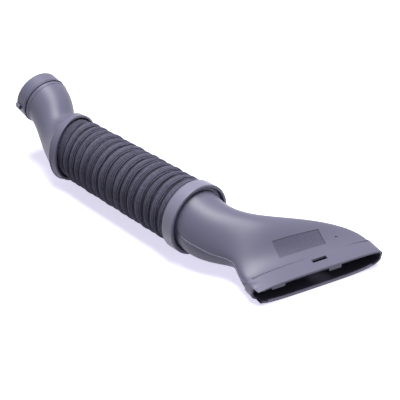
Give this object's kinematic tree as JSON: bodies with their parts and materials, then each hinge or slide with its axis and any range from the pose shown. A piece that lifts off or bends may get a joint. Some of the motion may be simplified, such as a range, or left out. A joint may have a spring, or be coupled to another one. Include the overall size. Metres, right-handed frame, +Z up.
{
  "type": "air intake pipe",
  "caption": "Engine air intake pipe: moulded elbow with round outlet, corrugated flexible hose, collar ring and a snorkel that flattens to a wide mouth.",
  "frame": {"origin": "on the floor under the middle of the pipe's bounding box, as it lies", "axes": "+X along the hose axis towards the mouth, +Z up"},
  "size_m": [0.5122, 0.1862, 0.1192],
  "materials": {
    "elbow_plastic": "satin moulded polypropylene, dark grey",
    "hose_fabric": "rubber-coated textile, matt, near black",
    "collar_plastic": "moulded polypropylene, a little glossier",
    "snorkel_plastic": "satin moulded polypropylene, dark grey"
  },
  "bodies": {
    "root": {"rear_elbow": "elbow_plastic", "flex_hose": "hose_fabric", "front_collar": "collar_plastic", "snorkel": "snorkel_plastic"}
  },
  "joints": []
}
